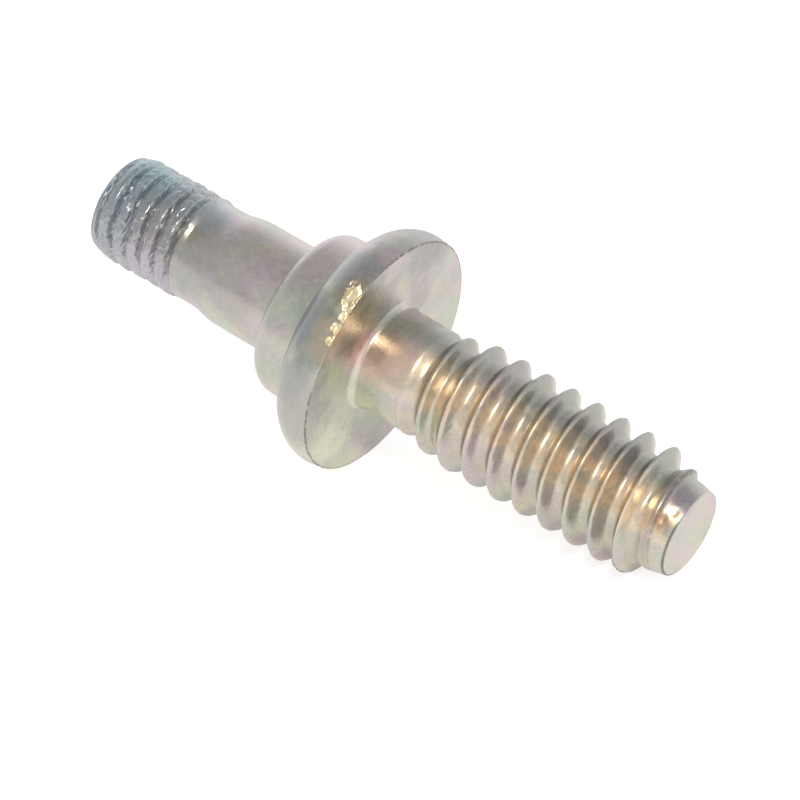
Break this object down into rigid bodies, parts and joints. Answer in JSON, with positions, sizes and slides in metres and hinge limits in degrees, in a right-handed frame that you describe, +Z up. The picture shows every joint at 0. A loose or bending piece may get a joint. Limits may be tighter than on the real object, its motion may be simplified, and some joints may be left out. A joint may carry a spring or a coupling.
{
  "type": "collar screw",
  "caption": "Lying collar screw with a fine-threaded end, plain shank, collar with round seat flange, neck and coarse thread.",
  "frame": {"origin": "on the surface that the screw lies on, under the middle of its length and width", "axes": "+Z up as the screw lies at rest, +X along the screw towards its coarse-threaded end, +Y across it"},
  "size_m": [0.0484, 0.0176, 0.0174],
  "materials": {
    "collar_screw": "satin zinc plating with a pale iridescent passivation, in faint pink, green and gold"
  },
  "bodies": {
    "root": {"collar_screw": "collar_screw"}
  },
  "joints": []
}
